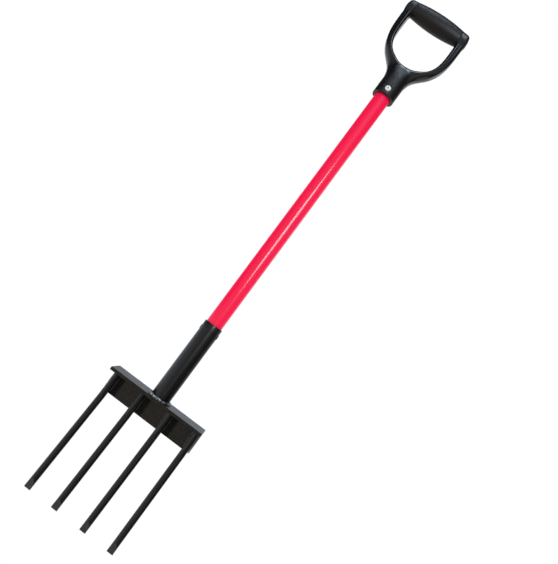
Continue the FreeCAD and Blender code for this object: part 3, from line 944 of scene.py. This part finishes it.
def yoke():
    step = 0.8
    low = np.array([-OUT_X - 3, -27.0, YOKE_Z0 - 3])
    high = np.array([OUT_X + 3, 27.0, GRIP_Z + BLOCK_R + 3])
    counts = np.ceil((high - low) / step).astype(int) + 1
    xs, ys, zs = (low[i] + step * np.arange(counts[i]) for i in range(3))
    gx, gz = np.meshgrid(xs, zs, indexing="ij")
    d_out = polygon_distance(gx, gz, mirrored(OUTLINE))
    d_open = polygon_distance(gx, gz, mirrored(OPENING))
    field = yoke_field(xs[:, None, None], ys[None, :, None], zs[None, None, :],
                       d_out[:, None, :], d_open[:, None, :])
    verts, quads = surface_nets(field)
    verts = taubin(verts, quads)
    verts = (low + verts * step) * MM
    verts += np.array([AXIS_X, AXIS_Y, SOCKET_MIN.z])
    mesh = bpy.data.meshes.new("d_yoke")
    mesh.vertices.add(len(verts))
    mesh.vertices.foreach_set("co", verts.astype(np.float32).ravel())
    mesh.loops.add(quads.size)
    mesh.loops.foreach_set("vertex_index", quads.ravel().astype(np.int32))
    mesh.polygons.add(len(quads))
    mesh.polygons.foreach_set("loop_start", (np.arange(len(quads)) * 4).astype(np.int32))
    mesh.update(calc_edges=True)
    mesh.validate()
    finish_piece("d_yoke", mesh, YOKE_PLASTIC, "grip_yoke", sharp=None)


yoke()


# ------------------------------------------------------------------ sleeve
def sleeve():
    """Barrel-shaped cover on the core bar, swelling from the end blocks to the middle."""
    half = (GRIP_MAX.x - GRIP_MIN.x) / 2
    mid_r = (GRIP_MAX.z - GRIP_MIN.z) / 2
    end_r = BLOCK_R * MM
    rise = mid_r - end_r
    crown = (half * half + rise * rise) / (2 * rise)
    edge, inset = 0.4 * MM, 0.1 * MM
    quarter = [math.pi / 2 * k / 6 for k in range(7)]
    profile = [(CORE_R * MM, -half)]
    for a in quarter:
        profile.append((end_r - edge + edge * math.sin(a) - inset,
                        -half + edge - edge * math.cos(a)))
    for x in np.linspace(-half + edge, half - edge, 64)[1:-1]:
        profile.append((mid_r - crown + math.sqrt(crown * crown - x * x), x))
    for a in quarter:
        profile.append((end_r - edge + edge * math.cos(a) - inset,
                        half - edge + edge * math.sin(a)))
    profile.append((CORE_R * MM, half))
    turned("grip_cover", profile, (GRIP_MIN + GRIP_MAX) / 2, "X", 128, reverse=True,
           material=RUBBER, slot="sleeve_rubber", node="grip_sleeve", sharp=50)


sleeve()


# ------------------------------------------------------------------ blind rivet
def blind_rivet():
    """A domed head on the front of the neck, with the broken stem in its hole."""
    stem_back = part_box("grip_rivet_mandrel")[1].y
    centre = ((RIVET_MIN.x + RIVET_MAX.x) / 2, 0, (RIVET_MIN.z + RIVET_MAX.z) / 2)
    head_r = (RIVET_MAX.x - RIVET_MIN.x) / 2
    front = RIVET_MIN.y
    seat = AXIS_Y - RIVET_SEAT * MM
    rise = seat - front
    crown = (head_r * head_r + rise * rise) / (2 * rise)
    hole, shank = 1.45 * MM, 2.4 * MM
    profile = [(hole, seat + 9 * MM), (hole, front + 1.2 * MM), (hole, front + 0.35 * MM),
               (hole + 0.25 * MM, front + 0.06 * MM)]
    for q in np.linspace(0.34, 1.0, 14):
        r = head_r * q
        rim = q == 1.0
        profile.append((r - (0.12 * MM if rim else 0),
                        seat - rise + crown - math.sqrt(max(crown * crown - r * r, 0))
                        - (0.15 * MM if rim else 0)))
    profile += [(head_r, seat - 0.05 * MM), (head_r - 0.1 * MM, seat + 0.02 * MM),
                (shank, seat + 0.02 * MM), (shank, seat + 9 * MM)]
    turned("rivet_dome", profile, centre, "Y", 64, material=ALUMINIUM,
           slot="rivet_aluminium", node="grip_rivet_body", sharp=40)
    stem = [(0.25 * MM, front + 0.55 * MM), (0.8 * MM, front + 0.6 * MM),
            (1.15 * MM, front + 0.75 * MM), (1.4 * MM, front + 1.05 * MM),
            (1.4 * MM, stem_back)]
    turned("rivet_stem", stem, centre, "Y", 48, ring=False, material=STEEL,
           slot="mandrel_steel", node="grip_rivet_mandrel", sharp=40)


blind_rivet()


# ------------------------------------------------------------------ floor
WHITE = (1.0, 1.0, 1.0)
WHITE_STRENGTH = 1.02  # of the backdrop the camera sees


def floor():
    """White to the camera, clear to reflections, warm paper to other rays."""
    mesh = bpy.data.meshes.new("floor")
    s, z = 14.0, float(SIZES["loaded"][0][2]) - 0.0005
    mesh.from_pydata([(-s, -s, z), (s, -s, z), (s, s, z), (-s, s, z)], [], [(0, 1, 2, 3)])
    ob = bpy.data.objects.new("floor", mesh)
    scene.collection.objects.link(ob)
    g = Textured("floor_white")
    paper = g.new("ShaderNodeEmission")
    g.plug(g.blend(g.noise(scale=3.0, detail=2.0, rough=0.5), dark=(1.0, 0.965, 0.93),
                   light=(1.04, 1.0, 0.965)), paper.inputs[0])
    white = g.new("ShaderNodeEmission")
    g.plug(WHITE, white.inputs[0])
    g.plug(WHITE_STRENGTH, white.inputs[1])
    clear = g.new("ShaderNodeBsdfTransparent")
    ray = g.new("ShaderNodeLightPath").outputs
    unseen = g.mix_shaders(ray["Is Glossy Ray"], paper.outputs[0], clear.outputs[0])
    g.plug(g.mix_shaders(ray["Is Camera Ray"], unseen, white.outputs[0]), g.out.inputs[0])
    g.mat.cycles.emission_sampling = "NONE"
    mesh.materials.append(g.mat)
    ob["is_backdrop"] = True


floor()


# ------------------------------------------------------------------ world
LAMP = (9.0, 10.6, 12.0)
LAMP_BEARING, LAMP_BEARING_SOFT = (-42.0, -6.0), 6.0  # degrees
LAMP_HEIGHT, LAMP_HEIGHT_SOFT = (0.80, 0.93), 0.03    # z of the direction
FILL = (1.10, 1.09, 1.07)     # what diffuse rays see
CEILING = (0.09, 0.11, 0.135)

# What the paint mirrors, in bands of height from the ground up: bearing in degrees, r, g, b.
# Bearing 0 is towards -Y, the viewer's side, and grows towards +X.
GROUND = [
    (-180, 0.12, 0.11, 0.10), (-160, 0.60, 0.56, 0.53), (-70, 0.95, 0.88, 0.83),
    (-44, 0.30, 0.27, 0.25), (-30, 0.09, 0.08, 0.07), (28, 0.09, 0.08, 0.07),
    (48, 0.95, 0.87, 0.82), (120, 1.15, 1.07, 1.02), (150, 0.85, 0.79, 0.75),
    (168, 0.20, 0.18, 0.17), (180, 0.12, 0.11, 0.10)]
SHEET = [
    (-180, 0.70, 0.64, 0.58), (-150, 0.80, 0.75, 0.72), (-110, 0.95, 0.90, 0.88),
    (-60, 0.98, 0.96, 0.97), (-32, 0.80, 0.79, 0.80), (-10, 0.46, 0.46, 0.47),
    (20, 0.20, 0.195, 0.19), (36, 0.12, 0.11, 0.10), (54, 0.70, 0.64, 0.60),
    (90, 0.95, 0.88, 0.83), (150, 0.85, 0.79, 0.75), (180, 0.70, 0.64, 0.58)]
TABLE = [
    (-180, 0.92, 0.84, 0.78), (-150, 0.80, 0.78, 0.78), (-110, 0.85, 0.88, 0.95),
    (-60, 0.98, 1.0, 1.06), (-32, 0.80, 0.80, 0.82), (-10, 0.46, 0.46, 0.47),
    (20, 0.20, 0.195, 0.19), (52, 0.09, 0.085, 0.08), (90, 0.06, 0.055, 0.05),
    (122, 0.08, 0.07, 0.065), (140, 0.70, 0.62, 0.56), (180, 0.92, 0.84, 0.78)]
LEVEL = [
    (-180, 0.80, 0.85, 0.95), (-150, 0.90, 1.0, 1.15), (-125, 1.0, 1.15, 1.35),
    (-98, 1.12, 1.35, 1.65), (-80, 1.12, 1.3, 1.58), (-66, 0.95, 0.98, 1.08),
    (-53, 0.80, 0.79, 0.80), (-40, 0.84, 0.83, 0.82), (-28, 0.60, 0.59, 0.58),
    (-17, 0.36, 0.35, 0.33), (-5, 0.28, 0.27, 0.24), (6, 0.50, 0.49, 0.48),
    (17, 0.74, 0.73, 0.72), (27, 0.62, 0.61, 0.60), (36, 0.18, 0.18, 0.18),
    (46, 0.01, 0.01, 0.01), (80, 0.01, 0.01, 0.01), (97, 0.09, 0.09, 0.10),
    (112, 0.28, 0.28, 0.30), (132, 0.48, 0.49, 0.53), (155, 0.70, 0.73, 0.80),
    (180, 0.80, 0.85, 0.95)]
HIGH = [
    (-180, 0.94, 1.04, 1.18), (-152, 0.80, 0.86, 0.94), (-130, 0.40, 0.42, 0.45),
    (-104, 0.06, 0.065, 0.07), (-74, 0.015, 0.016, 0.018), (-60, 0.10, 0.105, 0.11),
    (-46, 0.26, 0.27, 0.28), (-30, 0.40, 0.41, 0.43), (-8, 0.44, 0.46, 0.49),
    (12, 0.48, 0.50, 0.54), (45, 0.46, 0.46, 0.47), (60, 0.38, 0.38, 0.38),
    (76, 0.24, 0.24, 0.24), (94, 0.20, 0.20, 0.20), (112, 0.50, 0.51, 0.53),
    (136, 0.92, 0.97, 1.04), (160, 1.0, 1.08, 1.2), (180, 0.94, 1.04, 1.18)]
UPPER = [
    (-180, 0.95, 0.98, 1.02), (-164, 0.80, 0.83, 0.87), (-144, 0.14, 0.145, 0.155),
    (-112, 0.03, 0.032, 0.035), (-64, 0.02, 0.021, 0.023), (-48, 0.05, 0.06, 0.075),
    (-27, 0.24, 0.32, 0.44), (-6, 0.56, 0.80, 1.10), (12, 0.64, 0.92, 1.26),
    (28, 0.46, 0.64, 0.86), (45, 0.18, 0.22, 0.27), (60, 0.07, 0.075, 0.085),
    (76, 0.02, 0.02, 0.02), (96, 0.02, 0.02, 0.02), (118, 0.09, 0.09, 0.09),
    (144, 0.36, 0.36, 0.37), (164, 0.85, 0.88, 0.92), (180, 0.95, 0.98, 1.02)]


def world():
    studio = bpy.data.worlds.new("studio")
    scene.world = studio
    studio.use_nodes = True
    studio.cycles.sampling_method = "NONE"
    g = Graph(studio.node_tree)
    out = g.new("ShaderNodeOutputWorld")
    coord = g.new("ShaderNodeTexCoord")
    split = g.new("ShaderNodeSeparateXYZ")
    g.plug(coord.outputs["Generated"], split.inputs[0])
    x, y, z = split.outputs
    bearing = g.math("MULTIPLY", g.math("ARCTAN2", x, g.math("MULTIPLY", y, -1.0)),
                     180.0 / math.pi)

    def step(source, low, high, start=0.0, end=1.0):
        return g.span(source, out=(start, end), over=(low, high), smooth=True)

    def around(band):
        stops = [((degrees + 180.0) / 360.0, rgb) for degrees, *rgb in band]
        return g.ramp(g.span(bearing, out=(0.0, 1.0), over=(-180.0, 180.0)), stops)

    def background(colour, strength=1.0):
        node = g.new("ShaderNodeBackground")
        g.plug(colour, node.inputs[0])
        g.plug(strength, node.inputs[1])
        return node.outputs[0]

    level, table, high, upper = (around(band) for band in (LEVEL, TABLE, HIGH, UPPER))
    field = g.mix(step(z, -0.22, -0.10), table, level)
    ground, sheet = around(GROUND), around(SHEET)
    field = g.mix(step(z, -0.36, -0.26), sheet, field)
    field = g.mix(step(z, -0.58, -0.46), ground, field)
    field = g.mix(step(z, -0.06, 0.02), field, high)
    field = g.mix(step(z, 0.34, 0.44), field, upper)
    field = g.mix(step(z, 0.66, 0.80), field, CEILING)

    # a soft-edged lamp at a fixed bearing and height
    mask = None
    for source, (low, top), soft in ((bearing, LAMP_BEARING, LAMP_BEARING_SOFT),
                                     (z, LAMP_HEIGHT, LAMP_HEIGHT_SOFT)):
        rising = step(source, low - soft, low + soft)
        mask = g.math("MULTIPLY", mask, rising) if mask else rising
        mask = g.math("MULTIPLY", mask, step(source, top - soft, top + soft, 1.0, 0.0))
    lamp = g.mix(mask, (0.0, 0.0, 0.0), LAMP)
    total = g.new("ShaderNodeVectorMath", operation="ADD")
    g.plug(field, total.inputs[0])
    g.plug(lamp, total.inputs[1])

    ray = g.new("ShaderNodeLightPath").outputs
    mirrored_room, fill = background(total.outputs[0]), background(FILL)
    unseen = g.mix_shaders(ray["Is Diffuse Ray"], mirrored_room, fill)
    white = background(WHITE, WHITE_STRENGTH)
    g.plug(g.mix_shaders(ray["Is Camera Ray"], unseen, white), out.inputs[0])


world()


# ------------------------------------------------------------------ lights
def softbox(name, place, target, size, radiance, colour, shape="RECTANGLE"):
    light = bpy.data.lights.new(name, "AREA")
    light.shape = shape
    light.size, light.size_y = size
    fullness = math.pi / 4 if shape == "ELLIPSE" else 1.0
    light.energy = radiance * math.pi * size[0] * size[1] * fullness
    light.color = colour
    ob = bpy.data.objects.new(name, light)
    scene.collection.objects.link(ob)
    ob.location = place
    aim = Vector(target) - Vector(place)
    ob.rotation_euler = aim.to_track_quat("-Z", "Y").to_euler()
    ob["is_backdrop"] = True
    return ob


def only_on(light, test):
    """Flag the light off everything but the pieces whose names pass the test."""
    lit = bpy.data.collections.new(light.name + "_lights")
    for ob in scene.objects:
        if ob.type == "MESH" and test(ob.name):
            lit.objects.link(ob)
    light.light_linking.receiver_collection = lit
    light.data.cycles.max_bounces = 0


# a low key from the left, kept out of reflections: it models the tines and throws their
# shadows on the hanging leg
key = softbox("key_left", place=(-1.76, -1.35, 0.17), target=(0, -0.025, -0.06),
              size=(0.3, 0.3), radiance=900.0, colour=(1.0, 0.97, 0.93))
key.visible_glossy = False
only_on(key, lambda name: name.startswith(("crossbar", "tine", "socket_foot")))
# an oval softbox on the right, seen only as the streak it leaves in glossy paint
oval = softbox("oval_right", place=(0.661, -1.913, 0.841), target=(0, -0.025, 0.42),
               size=(0.78, 0.80), radiance=12.5, colour=WHITE, shape="ELLIPSE")
oval.visible_diffuse = False
only_on(oval, lambda name: name not in ("d_yoke", "floor", "rivet_dome", "rivet_stem")
        and not name.startswith("tine_bar"))
# a cool lamp high in front draws the line along the crest of the yoke
crest = softbox("crest_lamp", place=(0.274, -1.2, 2.045), target=(0, -0.025, 0.85),
                size=(0.62, 0.46), radiance=13.0, colour=(0.82, 0.93, 1.07), shape="ELLIPSE")
crest.visible_diffuse = False
only_on(crest, lambda name: name in ("d_yoke", "rivet_dome", "socket_foot_weld"))

# ------------------------------------------------------------------ camera
# the camera's own axes in the world; it looks against CAMERA_BACK
CAMERA_RIGHT = (0.8093864443, -0.0071601925, 0.5872327606)
CAMERA_UP = (-0.5826843991, -0.1345902129, 0.8014764013)
CAMERA_BACK = (0.0732969932, -0.9908754969, -0.1131075748)
CAMERA_PLACE = (0.121976, -1.006309, 0.211935)

lens = bpy.data.cameras.new("camera")
lens.sensor_width = 36.0
lens.lens = 33.9702766
lens.clip_start, lens.clip_end = 0.05, 60.0
camera = bpy.data.objects.new("camera", lens)
scene.collection.objects.link(camera)
turn = Matrix((CAMERA_RIGHT, CAMERA_UP, CAMERA_BACK)).transposed()
camera.matrix_world = Matrix.Translation(CAMERA_PLACE) @ turn.to_4x4()
scene.camera = camera

scene.view_settings.view_transform = "Standard"
scene.view_settings.look = "None"
scene.view_settings.exposure = 0.0
scene.view_settings.gamma = 1.0

SIZES["finished"] = [list(map(float, c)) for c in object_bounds()]
